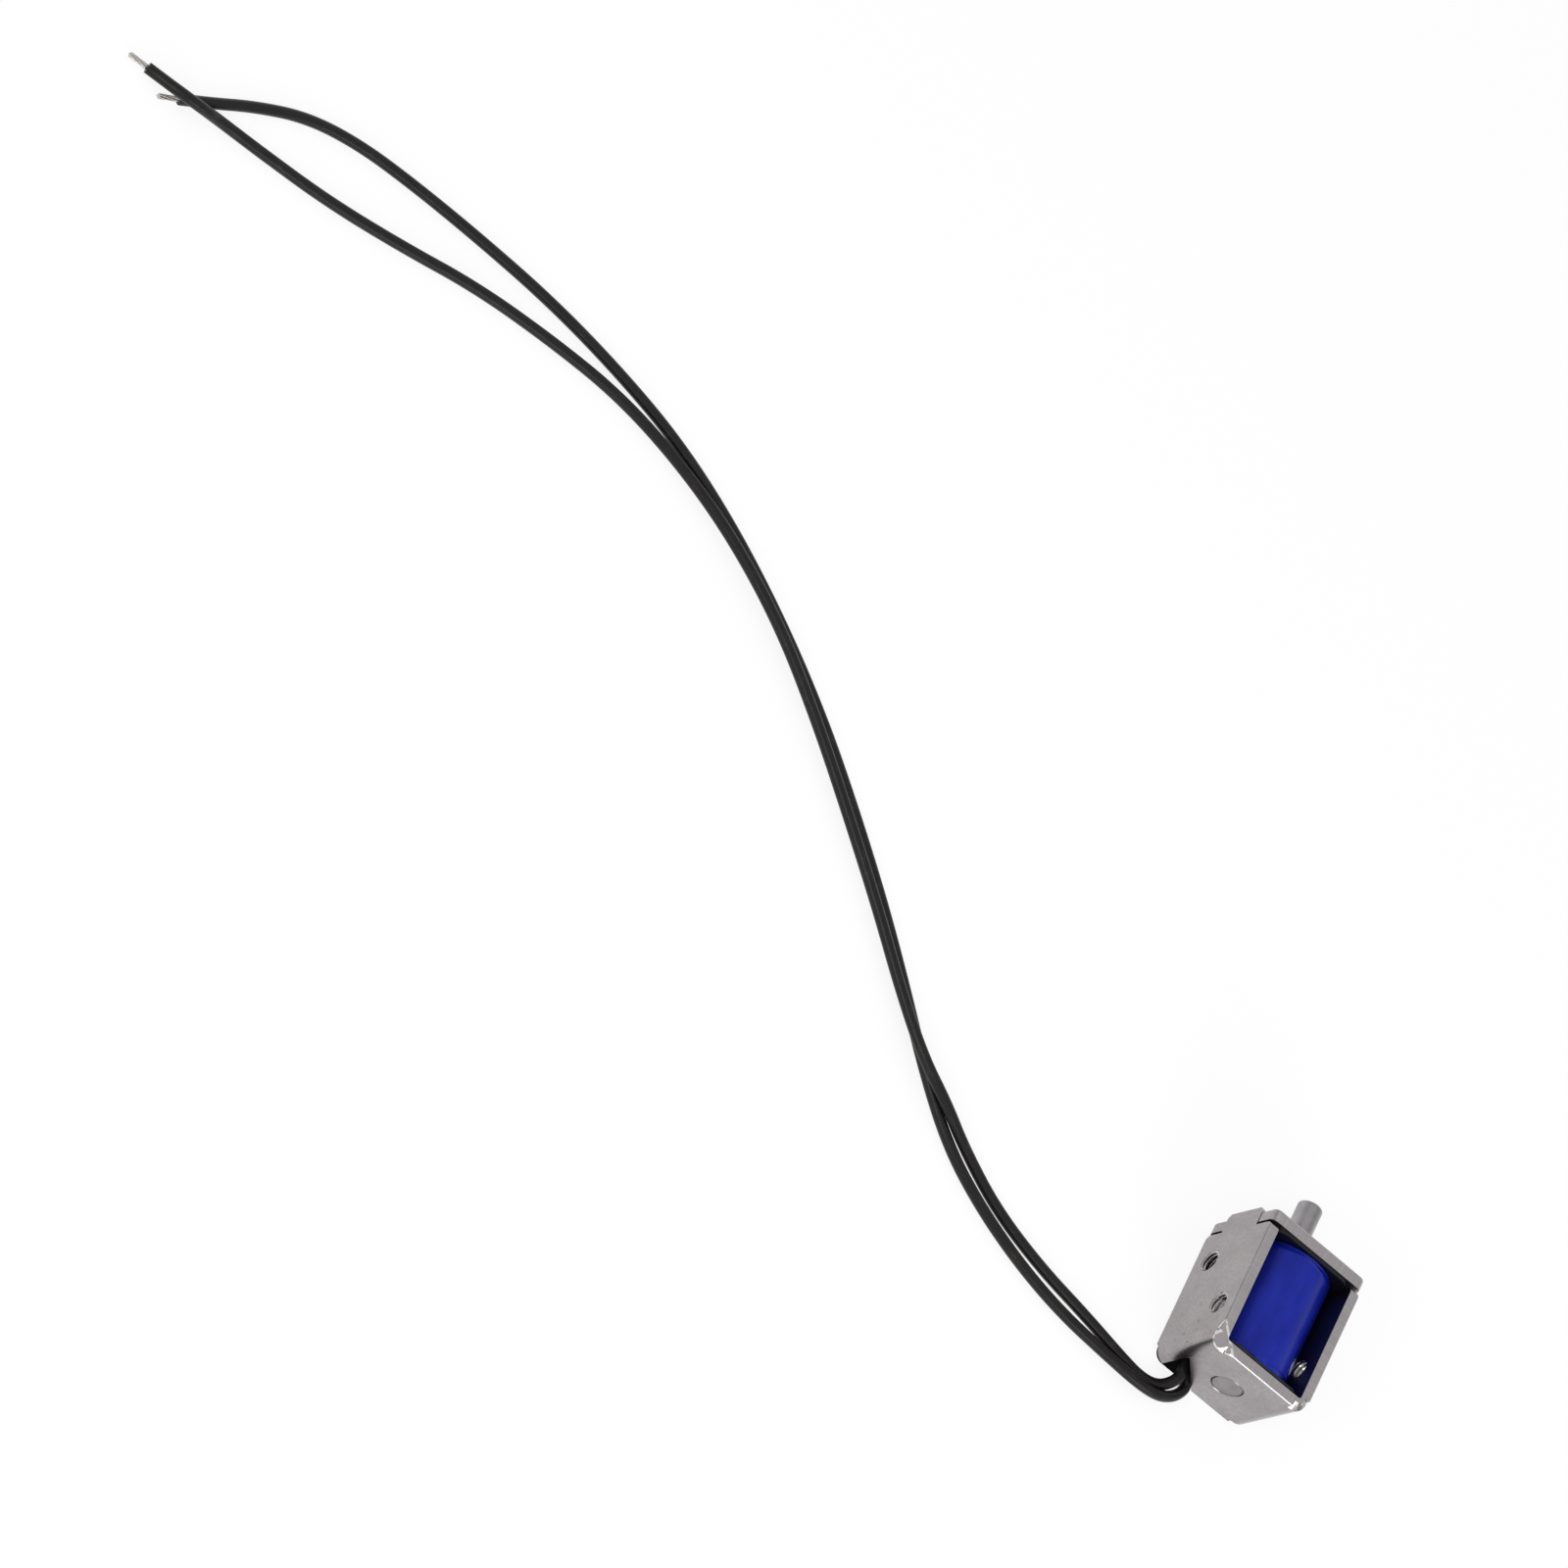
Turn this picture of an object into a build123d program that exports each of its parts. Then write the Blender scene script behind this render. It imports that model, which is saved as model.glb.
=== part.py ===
from build123d import *
import math
import os

# Solenoid bolt lock, in millimetres. X runs across the frame, Y along the bolt towards
# its tip, and Z up from the open rear of the frame, which it lies on, to its open front.
# The origin is below the middle of the frame and bolt, on the surface that it lies on.

# Folded frame
frame_width = 10.6
frame_depth = 8.7
frame_length = 13.75
sheet = 1.0
bend_inner_radius = 0.25
wall_corner_radius = 0.6
die_roll = 0.22
coined_facet = 0.58
coined_angle = 110
shoulder_gap = 0.15

# End plate and the tabs that are staked over it
plate_thickness = 1.15
plate_side_gap = 0.05
plate_corner_radius = 0.6
plate_die_roll = 0.3
tab_width = 4.6
tab_proud = 0.38
tab_chamfer = 0.35
tab_clearance = 0.04
stake_lip = 0.25
stake_lip_land = 0.1
stake_groove_width = 0.4
stake_groove_depth = 0.15

# Threaded holes in both walls, at the thread's major diameter, set about the frame's middle
thread_diameter = 2.0
thread_offset_to_plate = 0.125
thread_spacing_along = 5.0
thread_spacing_up = 4.24
thread_rim = 0.1

# Notch for the leads, in the bottom wall's rear left corner
notch_height = 4.27
notch_width = 3.95
notch_into_bend = 0.25
notch_apex_radius = 0.15

# Bobbin's bore, which the core, the plunger and both washers fit
bobbin_bore = 4.2
core_clearance = 0.05
plunger_clearance = 0.08
washer_edge_clearance = 0.1

# Fixed core
core_length = 3.6
core_edge = 0.15
core_pocket_depth = 0.8
tenon_diameter = 2.9
tenon_recess = 0.03
tenon_groove = 0.14
tenon_clearance = 0.01
shim_thickness = 0.15

# Plunger with the bolt's nose
plunger_edge = 0.12
plunger_head = 2.13
stroke = 3.0
stroke_end_gap = 0.05
bolt_diameter = 2.2
bolt_reach = 4.6
bolt_tip_round = 0.3
grease_groove_width = 0.55
grease_groove_depth = 0.2
bolt_clearance = 0.05
shoulder_clearance = 0.02
washer_thickness = 0.25
washer_bore_clearance = 0.2

# Return spring
spring_wire_diameter = 0.22
spring_mean_diameter = 2.3
spring_turns = 6
spring_wire_facets = 8
spring_pocket_clearance = 0.09

# Bobbin, winding and tape
bobbin_wall = 0.35
flange_thickness = 0.35
flange_wall_gap = 0.05
flange_depth_gap = 0.1
flange_corner_radius = 1.3
winding_clearance = 0.02
tape_thickness = 0.7
tape_end_round = 0.3
lobe_wall = 0.09
lobe_end_wall = 0.8
lobe_end_round = 0.25

# Leads
lead_diameter = 1.0
lead_facets = 12
lead_pocket_clearance = 0.06
lead_flange_clearance = 0.04
conductor_diameter = 0.48
strand_tip_round = 0.08
joint_diameter = 0.72
joint_length_a = 2.9
joint_length_b = 2.6
joint_end_round = 0.2
tail_diameter = 0.16
tail_straight = 0.35
tail_rise = 0.55
tail_seat = 0.05

# How far a cut runs past the face that it opens, and the share of a run that an arc takes
cut_spare = 1.0
arc_share = 0.45

# Places that follow from the sizes
half_width = frame_width / 2
inner_half_width = half_width - sheet
bend_outer_radius = bend_inner_radius + sheet
axis_z = frame_depth / 2
foot_y = -(frame_length + bolt_reach) / 2
inner_foot_y = foot_y + sheet
plate_outer_y = foot_y + frame_length
plate_inner_y = plate_outer_y - plate_thickness
shoulder_y = plate_inner_y - shoulder_gap
tab_top_y = plate_outer_y + tab_proud
notch_left_x = bend_outer_radius - half_width - notch_into_bend

core_radius = bobbin_bore / 2 - core_clearance
plunger_radius = bobbin_bore / 2 - plunger_clearance
washer_radius = bobbin_bore / 2 - washer_edge_clearance
core_face_y = inner_foot_y + core_length
shim_face_y = core_face_y + shim_thickness
washer_face_y = plate_inner_y - washer_thickness
plunger_shoulder_y = washer_face_y - shoulder_clearance
plunger_rear_y = shim_face_y + stroke_end_gap + stroke
bolt_tip_y = plate_outer_y + bolt_reach
spring_start_y = core_face_y - core_pocket_depth
spring_end_y = plunger_shoulder_y - plunger_head
pocket_radius = (spring_mean_diameter + spring_wire_diameter) / 2 + spring_pocket_clearance

lower_flange_y = inner_foot_y + flange_thickness
upper_flange_y = plate_inner_y - flange_thickness
barrel_radius = bobbin_bore / 2 + bobbin_wall
flange_half_width = inner_half_width - flange_wall_gap
flange_half_depth = axis_z - flange_depth_gap
tape_radius = min(flange_half_width, flange_half_depth)
tape_bore_radius = tape_radius - tape_thickness
winding_bore_radius = barrel_radius + winding_clearance
winding_radius = tape_bore_radius - winding_clearance
lead_pocket_radius = lead_diameter / 2 + lead_pocket_clearance
lobe_radius = lead_pocket_radius + lobe_wall

# Middle lines of the two leads, from under the tape to the end of the insulation. Lead A
# lies on lead B most of the way, comes down beside it near the frame, and crosses it again
# at the far end.
lead_a_route = [
    (-2.95, -7.2, 1.41),
    (-2.95, -8.75, 1.41),
    (-2.9, -9.85, 1.2),
    (-3.75, -10.95, 0.52),
    (-5.4, -11.36, 0.5),
    (-8.3, -11.09, 0.5),
    (-12.6, -10.27, 0.5),
    (-18.4, -9.45, 0.5),
    (-24.4, -7.9, 0.5),
    (-29.6, -5.46, 0.62),
    (-33.5, -3.8, 1.62),
    (-37.2, -1.9, 1.64),
    (-41.4, 1.8, 1.16),
    (-46.8, 6.65, 1.05),
    (-52.4, 11.2, 1.02),
    (-58.8, 16.1, 1.12),
    (-66.2, 20.95, 1.38),
    (-73.8, 24.7, 1.18),
    (-81.0, 27.2, 0.68),
    (-88.4, 28.45, 0.5),
    (-96.0, 28.3, 0.5),
    (-104.2, 27.6, 0.5),
    (-112.0, 26.0, 0.5),
    (-119.6, 24.8, 0.5),
    (-126.6, 24.3, 0.5),
    (-131.2, 24.0, 0.62),
    (-133.65, 23.25, 1.64),
    (-136.15, 23.07, 1.64),
    (-137.8, 23.45, 0.8),
    (-139.2, 23.55, 0.5),
]
lead_b_route = [
    (-1.85, -6.9, 0.7),
    (-1.85, -8.7, 0.7),
    (-1.95, -10.5, 0.58),
    (-3.2, -11.9, 0.76),
    (-5.7, -12.33, 1.06),
    (-9.9, -11.9, 0.64),
    (-14.7, -11.5, 0.5),
    (-20.1, -10.5, 0.5),
    (-25.8, -8.7, 0.5),
    (-31.0, -6.2, 0.5),
    (-36.1, -2.05, 0.5),
    (-40.9, 2.65, 0.5),
    (-46.3, 7.6, 0.5),
    (-52.2, 12.45, 0.5),
    (-58.6, 17.3, 0.5),
    (-66.0, 21.9, 0.5),
    (-74.0, 25.9, 0.5),
    (-81.8, 28.7, 0.5),
    (-89.6, 30.2, 0.5),
    (-97.6, 31.1, 0.5),
    (-105.8, 31.3, 0.5),
    (-113.4, 31.2, 0.5),
    (-119.4, 30.8, 0.5),
    (-124.6, 29.6, 0.5),
    (-129.2, 27.2, 0.5),
    (-133.0, 24.65, 0.5),
    (-135.4, 23.2, 0.5),
]
strand_a_tip = (-141.2, 23.45, 0.5)
strand_b_tip = (-137.3, 22.1, 0.5)

exit_a = Vector(*lead_a_route[0])
exit_b = Vector(*lead_b_route[0])
joint_a_end_y = exit_a.Y + joint_length_a
joint_b_end_y = exit_b.Y + joint_length_b
lead_pocket_end_y = max(joint_a_end_y, joint_b_end_y) + tail_straight + tail_rise
lobe_end_y = lead_pocket_end_y + lobe_end_wall


def polygon(points):
    """A flat face with straight sides through the points."""
    return make_face(Polyline(*points, close=True))


def prism_along_y(outline, start, end):
    """An outline drawn as (x, z), made solid from one Y to another."""
    base = Plane(origin=(0, start, 0), x_dir=(1, 0, 0), z_dir=(0, -1, 0))
    return extrude(base * outline, amount=start - end)


def rod(radius, start, end, x=0, z=axis_z):
    """A round rod along Y."""
    return prism_along_y(Pos(x, z) * Circle(radius), start, end)


def turned(points):
    """A turned piece on the bolt's axis, from its half section of (radius, y) points."""
    return Pos(0, 0, axis_z) * revolve(polygon(points), Axis.Y)


def ring(inner, outer, start, end):
    """A plain washer or sleeve on the bolt's axis."""
    return turned([(inner, start), (outer, start), (outer, end), (inner, end)])


def circles_of(body, radius):
    """The body's round edges of one radius."""
    return body.edges().filter_by(GeomType.CIRCLE).filter_by(lambda edge: abs(edge.radius - radius) < 1e-6)


def channel(half, foot, corner):
    """A U of the frame's depth, solid, with its two foot corners rounded."""
    outline = Pos(0, (foot + tab_top_y) / 2) * Rectangle(2 * half, tab_top_y - foot)
    outline = fillet(outline.vertices().sort_by(Axis.Y)[:2], corner)
    return extrude(outline, amount=frame_depth)


def wall_side_view():
    """The walls as seen from the side: rounded shoulders and a chamfered tab between."""
    wall = Pos((foot_y + shoulder_y) / 2, axis_z) * Rectangle(shoulder_y - foot_y, frame_depth)
    wall = fillet(wall.vertices().sort_by(Axis.X)[-2:], wall_corner_radius)
    tab = Pos((foot_y + tab_top_y) / 2, axis_z) * Rectangle(tab_top_y - foot_y, tab_width)
    tab = chamfer(tab.vertices().sort_by(Axis.X)[-2:], tab_chamfer)
    return extrude(Plane.YZ * (wall + tab), amount=half_width + cut_spare, both=True)


def coined_bend(side, face_z, outward):
    """The wedge that is struck off a bend's edge at the frame's front or rear."""
    inner = bend_outer_radius - coined_facet
    outer = bend_outer_radius + coined_facet
    section = polygon([(inner, face_z), (outer, face_z), (outer, face_z - 2 * outward * coined_facet)])
    wedge = revolve(Plane.XZ * section, Axis.Z, revolution_arc=coined_angle)
    middle_angle = -90 + side * 45
    centre = Pos(side * (half_width - bend_outer_radius), foot_y + bend_outer_radius)
    return centre * Rot(0, 0, middle_angle - coined_angle / 2) * wedge


def lead_notch():
    """The triangular notch: it starts in the end of the left bend, and opens at the rear."""
    slope = notch_width / notch_height
    right = notch_left_x + notch_width + slope * cut_spare
    outline = polygon([(notch_left_x, notch_height), (right, -cut_spare), (notch_left_x, -cut_spare)])
    apex = outline.vertices().sort_by(Axis.Y)[-1]
    return prism_along_y(fillet(apex, notch_apex_radius), foot_y - cut_spare, inner_foot_y + cut_spare)


def thread_hole(up):
    """One hole through both walls; up is 1 nearer the foot and front, or -1."""
    middle_y = foot_y + frame_length / 2 + thread_offset_to_plate
    place = Pos(0, middle_y - up * thread_spacing_along / 2, axis_z + up * thread_spacing_up / 2)
    return place * Rot(0, 90, 0) * Cylinder(thread_diameter / 2, frame_width + 2 * cut_spare)


def stake(side):
    """The lip that staking spreads over the plate, inside one tab."""
    edge = side * inner_half_width
    lip = side * (inner_half_width - stake_lip)
    land = side * (inner_half_width - stake_lip + stake_lip_land)
    top = plate_outer_y + tab_proud - stake_groove_depth
    outline = polygon([(edge, plate_outer_y), (lip, plate_outer_y), (land, top), (edge, top)])
    length = tab_width - 2 * tab_chamfer
    return extrude(Pos(0, 0, axis_z - length / 2) * outline, amount=length)


def stake_groove(side):
    """The groove that the staking punch leaves along a tab's top."""
    middle = side * (half_width - sheet / 2)
    half = stake_groove_width / 2
    outline = polygon(
        [(middle - half, tab_top_y), (middle + half, tab_top_y), (middle, tab_top_y - stake_groove_depth)]
    )
    return extrude(outline, amount=frame_depth)


def yoke_frame():
    body = channel(half_width, foot_y, bend_outer_radius)
    body -= channel(inner_half_width, inner_foot_y, bend_inner_radius)
    body &= wall_side_view()
    foot_edges = body.edges().filter_by(Axis.X).group_by(Axis.Y)[0]
    body = fillet(foot_edges, die_roll)
    for side in (-1, 1):
        body -= coined_bend(side, frame_depth, 1)
        body -= coined_bend(side, 0, -1)
        body += stake(side)
        body -= stake_groove(side)
    for up in (-1, 1):
        body -= thread_hole(up)
    rims = circles_of(body, thread_diameter / 2).sort_by(Axis.X)
    body = chamfer(rims[:2] + rims[-2:], thread_rim)
    body -= lead_notch()
    hole_radius = tenon_diameter / 2 + tenon_clearance
    body -= rod(hole_radius, foot_y - cut_spare, inner_foot_y + cut_spare)
    rim = circles_of(body, hole_radius).sort_by(Axis.Y)[0]
    return chamfer(rim, tenon_groove / 2)


def end_plate():
    width = frame_width - 2 * plate_side_gap
    outline = Pos(0, axis_z) * RectangleRounded(width, frame_depth, plate_corner_radius)
    notch_bottom = inner_half_width - tab_clearance
    notch = Rectangle(half_width, tab_width + 2 * tab_clearance, align=(Align.MIN, Align.CENTER))
    outline -= Pos(notch_bottom, axis_z) * notch
    outline -= Pos(-notch_bottom - half_width, axis_z) * notch
    plate = prism_along_y(outline, plate_inner_y, plate_outer_y)
    edges = plate.edges().group_by(Axis.Y)[-1]
    side_start = half_width - plate_corner_radius / 2
    rolled = edges.filter_by(lambda edge: not 1 < abs(edge.center().X) < side_start)
    plate = fillet(rolled, plate_die_roll)
    hole = bolt_diameter / 2 + bolt_clearance
    return plate - rod(hole, plate_inner_y - cut_spare, plate_outer_y + cut_spare)


def fixed_core():
    tenon = tenon_diameter / 2
    tenon_face_y = foot_y + tenon_recess
    return turned(
        [
            (0, tenon_face_y),
            (tenon - tenon_groove, tenon_face_y),
            (tenon, tenon_face_y + tenon_groove),
            (tenon, inner_foot_y),
            (core_radius, inner_foot_y),
            (core_radius, core_face_y - core_edge),
            (core_radius - core_edge, core_face_y),
            (pocket_radius, core_face_y),
            (pocket_radius, spring_start_y),
            (0, spring_start_y),
        ]
    )


def anti_stick_shim():
    return ring(pocket_radius, washer_radius, core_face_y, shim_face_y)


def stop_washer():
    return ring(bolt_diameter / 2 + washer_bore_clearance, washer_radius, washer_face_y, plate_inner_y)


def locking_plunger():
    body = plunger_radius
    nose = bolt_diameter / 2
    groove = nose - grease_groove_depth
    piece = turned(
        [
            (0, spring_end_y),
            (pocket_radius, spring_end_y),
            (pocket_radius, plunger_rear_y),
            (body - plunger_edge, plunger_rear_y),
            (body, plunger_rear_y + plunger_edge),
            (body, plunger_shoulder_y - plunger_edge),
            (body - plunger_edge, plunger_shoulder_y),
            (nose, plunger_shoulder_y),
            (nose, plate_outer_y - grease_groove_width),
            (groove, plate_outer_y - grease_groove_width),
            (groove, plate_outer_y),
            (nose, plate_outer_y),
            (nose, bolt_tip_y),
            (0, bolt_tip_y),
        ]
    )
    tip_edge = piece.edges().filter_by(GeomType.CIRCLE).sort_by(Axis.Y)[-1]
    return fillet(tip_edge, bolt_tip_round)


def return_spring():
    """Spring wire, wound between the floors of the core's and the plunger's pockets."""
    wire = spring_wire_diameter / 2
    rise = spring_end_y - spring_start_y - spring_wire_diameter
    path = Helix(pitch=rise / spring_turns, height=rise, radius=spring_mean_diameter / 2)
    section = Plane(origin=path @ 0, z_dir=path % 0) * RegularPolygon(wire, spring_wire_facets)
    coil = sweep(section, path, is_frenet=True)
    return Pos(0, spring_start_y + wire, axis_z) * Rot(-90, 0, 0) * coil


def lead_flat_distance():
    """How far from the bolt's axis the lower flange is cut off, to let both leads pass."""
    along = Vector(exit_b.X - exit_a.X, exit_b.Z - exit_a.Z).normalized()
    outward = Vector(along.Y, -along.X)
    reach = outward.dot(Vector(exit_a.X, exit_a.Z - axis_z))
    return reach - lead_diameter / 2 - lead_flange_clearance, outward


def bobbin():
    outline = RectangleRounded(2 * flange_half_width, 2 * flange_half_depth, flange_corner_radius)
    flange = Pos(0, axis_z) * outline
    distance, outward = lead_flat_distance()
    flat = Rectangle(frame_depth, frame_width + frame_depth, align=(Align.MIN, Align.CENTER))
    turn = math.degrees(math.atan2(outward.Y, outward.X))
    lead_flat = Pos(0, axis_z) * Rot(0, 0, turn) * Pos(distance, 0) * flat
    lower = prism_along_y(flange - lead_flat, inner_foot_y, lower_flange_y)
    body = chamfer(lower.edges().group_by(Axis.Y)[0], bend_inner_radius)
    body += prism_along_y(flange, upper_flange_y, plate_inner_y)
    body += rod(barrel_radius, inner_foot_y, plate_inner_y)
    return body - rod(bobbin_bore / 2, inner_foot_y - cut_spare, plate_inner_y + cut_spare)


def coil_winding():
    start = lower_flange_y + winding_clearance
    end = upper_flange_y - winding_clearance
    return ring(winding_bore_radius, winding_radius, start, end)


def lobe_outline():
    """The tape that wraps the two lead joints onto the coil."""
    circles = [
        Pos(0, axis_z) * Circle(tape_bore_radius),
        Pos(exit_a.X, exit_a.Z) * Circle(lobe_radius),
        Pos(exit_b.X, exit_b.Z) * Circle(lobe_radius),
    ]
    return make_hull([edge for circle in circles for edge in circle.edges()])


def joint_pocket(place):
    """The room in the tape for one joint's wire to reach the winding."""
    inward = Vector(-place.X, axis_z - place.Z)
    turn = math.degrees(math.atan2(inward.Y, inward.X))
    channel_outline = Rectangle(inward.length, 2 * tail_diameter, align=(Align.MIN, Align.CENTER))
    outline = Pos(place.X, place.Z) * (Circle(lead_pocket_radius) + Rot(0, 0, turn) * channel_outline)
    return prism_along_y(outline, lower_flange_y - cut_spare, lead_pocket_end_y)


def coil_tape():
    """Tape wound round the coil, soft at its ends, with a lobe over the lead joints.

    The lobe goes as far out as the frame has room.
    """
    lobe = prism_along_y(lobe_outline(), lower_flange_y, lobe_end_y)
    lobe = fillet(lobe.edges().group_by(Axis.Y)[-1], lobe_end_round)
    room = Pos(0, axis_z) * Rectangle(2 * flange_half_width, frame_depth)
    lobe &= prism_along_y(room, lower_flange_y, lobe_end_y)
    roll = rod(tape_radius, lower_flange_y, upper_flange_y)
    roll = fillet(roll.edges().filter_by(GeomType.CIRCLE).sort_by(Axis.Y)[-1], tape_end_round)
    body = roll + lobe
    body -= rod(tape_bore_radius, lower_flange_y - cut_spare, upper_flange_y + cut_spare)
    for place in (exit_a, exit_b):
        body -= joint_pocket(place)
    return body


def solder_joint(place, end):
    """The soldered splice between a lead's strands and a magnet wire."""
    joint = rod(joint_diameter / 2, place.Y, end, place.X, place.Z)
    return fillet(joint.edges().filter_by(GeomType.CIRCLE).sort_by(Axis.Y)[-1], joint_end_round)


def magnet_wire_tail(place, start, winding):
    """The winding's own wire, from a joint's end inwards to the winding."""
    inward = Vector(-place.X, axis_z - place.Z)
    inward *= (inward.length - winding_radius + tail_seat) / inward.length
    points = [
        (place.X, start, place.Z),
        (place.X, start + tail_straight, place.Z),
        (place.X + inward.X, start + tail_straight + tail_rise, place.Z + inward.Y),
    ]
    path, radii = rounded_path(points)
    section = Plane(origin=path @ 0, z_dir=path % 0) * Circle(tail_diameter / 2)
    return sweep(section, path) - winding


def rounded_path(points):
    """Straight runs joined by tangent arcs, each as large as its two runs allow."""
    radii = []
    for before, corner, after in zip(points, points[1:], points[2:]):
        run_in = Vector(*corner) - Vector(*before)
        run_out = Vector(*after) - Vector(*corner)
        half_turn = math.radians(run_in.get_angle(run_out)) / 2
        radii.append(arc_share * min(run_in.length, run_out.length) / math.tan(half_turn))
    return FilletPolyline(*points, radius=radii), radii


def lead_wire(name, points):
    """One insulated lead along its route."""
    path, radii = rounded_path(points)
    section = Plane(origin=path @ 0, z_dir=path % 0) * RegularPolygon(lead_diameter / 2, lead_facets)
    tube = sweep(section, path)
    expected = section.area * path.length
    print(name, "length", round(path.length, 2), "smallest z", round(tube.bounding_box().min.Z, 3))
    print(name, "arc radii", [round(radius, 1) for radius in radii])
    print(name, "volume over section times length", round(tube.volume / expected, 5))
    return tube


def strand_end(points, tip):
    """The bare tinned strands past the end of the insulation."""
    start = Vector(*points[-1])
    reach = Vector(*tip) - start
    section = Plane(origin=start, z_dir=reach) * Circle(conductor_diameter / 2)
    strands = extrude(section, amount=reach.length)
    tip_face = strands.faces().sort_by(Axis.X)[0]
    return fillet(tip_face.edges(), strand_tip_round)


winding = coil_winding()
pieces = {
    "yoke_frame": yoke_frame(),
    "end_plate": end_plate(),
    "fixed_core": fixed_core(),
    "anti_stick_shim": anti_stick_shim(),
    "locking_plunger": locking_plunger(),
    "return_spring": return_spring(),
    "stop_washer": stop_washer(),
    "bobbin": bobbin(),
    "coil_winding": winding,
    "coil_tape": coil_tape(),
    "lead_wire_a": lead_wire("lead_wire_a", lead_a_route),
    "lead_wire_b": lead_wire("lead_wire_b", lead_b_route),
    "strand_end_a": strand_end(lead_a_route, strand_a_tip),
    "strand_end_b": strand_end(lead_b_route, strand_b_tip),
    "solder_joint_a": solder_joint(exit_a, joint_a_end_y),
    "solder_joint_b": solder_joint(exit_b, joint_b_end_y),
    "magnet_wire_tail_a": magnet_wire_tail(exit_a, joint_a_end_y, winding),
    "magnet_wire_tail_b": magnet_wire_tail(exit_b, joint_b_end_y, winding),
}

os.makedirs("parts", exist_ok=True)
for name, piece in pieces.items():
    export_step(piece, "parts/" + name + ".step")
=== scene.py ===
# %% [markdown]
# # A miniature solenoid bolt lock
#
# The lock is a folded steel frame the size of a fingertip, with a coil wrapped in blue tape, a
# round steel bolt and two thin black leads. It lies on its back on a white surface. Its solid
# parts come from the imported model. This lesson gives them their finishes, and adds what is too
# fine or too soft for a solid part: the leads, their bare strands, the screw threads, the loose
# end of the tape, a corner struck flat, and a coil for the spring.

# %% Load the fixed frame
import math
import random

import bmesh
import bpy
from mathutils import Matrix, Vector
from mathutils.bvhtree import BVHTree
from mathutils.interpolate import poly_3d_calc


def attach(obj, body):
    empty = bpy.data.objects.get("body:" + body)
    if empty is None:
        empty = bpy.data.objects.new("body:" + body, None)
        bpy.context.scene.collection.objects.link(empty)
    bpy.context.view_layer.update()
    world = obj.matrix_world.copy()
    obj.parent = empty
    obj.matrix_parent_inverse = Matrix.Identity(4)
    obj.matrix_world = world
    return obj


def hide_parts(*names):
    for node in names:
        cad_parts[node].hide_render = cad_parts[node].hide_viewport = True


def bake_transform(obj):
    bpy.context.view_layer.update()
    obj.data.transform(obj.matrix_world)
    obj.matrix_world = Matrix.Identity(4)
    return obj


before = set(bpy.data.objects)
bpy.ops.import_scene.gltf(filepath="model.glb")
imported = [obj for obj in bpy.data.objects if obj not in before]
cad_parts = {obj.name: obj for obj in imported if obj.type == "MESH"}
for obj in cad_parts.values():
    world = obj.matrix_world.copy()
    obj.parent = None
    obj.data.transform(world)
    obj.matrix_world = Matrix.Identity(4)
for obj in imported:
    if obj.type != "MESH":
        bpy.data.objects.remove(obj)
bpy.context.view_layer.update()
mm = 0.001
scene = bpy.context.scene
scene.view_settings.view_transform = "Standard"

# %% [markdown]
# ## The camera
#
# The photograph looks down on the lock from its lower left, and its lines hardly converge, so it
# was taken from far off. A long lens does the same here. The camera's place and its three
# directions were worked out from the frame's edges, whose real directions are known.

# %% Camera
camera_right = (0.69997, 0.38690, 0.60030)
camera_up = (-0.58346, 0.79453, 0.16824)
camera_back = (-0.41186, -0.46801, 0.78188)
camera_place = (-0.76374, -0.790375, 1.33807)
lens_length = 483.73
turn = Matrix((camera_right, camera_up, camera_back)).transposed().to_4x4()
camera_data = bpy.data.cameras.new("photo_camera")
camera_data.sensor_width = 36
camera_data.lens = lens_length
camera_data.clip_start = 0.05
camera = bpy.data.objects.new("photo_camera", camera_data)
camera.matrix_world = Matrix.Translation(camera_place) @ turn
scene.collection.objects.link(camera)
scene.camera = camera
print("camera distance", round(camera.location.length, 3), "m")

# %% [markdown]
# ## Expressions for shaders
#
# A material is a graph of nodes, and most of them only add, multiply or compare. Wrapping a socket
# in a small class lets that be written as plain arithmetic. One method makes every other node:
# it takes the node's type, then its settings, then what goes into its sockets.


# %% A socket that can be written in expressions
class Signal:
    """One output socket of a node tree, for use in arithmetic."""

    def __init__(self, tree, socket=None):
        self.tree = tree
        self.socket = socket

    def make(self, kind, settings=None, sockets=None, out=0):
        """Adds a node, settings first, then its sockets' values or links, and gives one output."""
        node = self.tree.nodes.new(kind)
        for name, value in (settings or {}).items():
            setattr(node, name, value)
        for name, value in (sockets or {}).items():
            if isinstance(value, Signal):
                self.tree.links.new(value.socket, node.inputs[name])
            else:
                node.inputs[name].default_value = value
        return Signal(self.tree, node.outputs[out] if len(node.outputs) else None)

    def math(self, operation, first, second):
        return self.make("ShaderNodeMath", {"operation": operation}, {0: first, 1: second})

    def __add__(self, other):
        return self.math("ADD", self, other)

    def __radd__(self, other):
        return self.math("ADD", other, self)

    def __sub__(self, other):
        return self.math("SUBTRACT", self, other)

    def __rsub__(self, other):
        return self.math("SUBTRACT", other, self)

    def __mul__(self, other):
        return self.math("MULTIPLY", self, other)

    def __rmul__(self, other):
        return self.math("MULTIPLY", other, self)

    def __gt__(self, other):
        return self.math("GREATER_THAN", self, other)

    def __lt__(self, other):
        return self.math("LESS_THAN", self, other)


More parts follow.
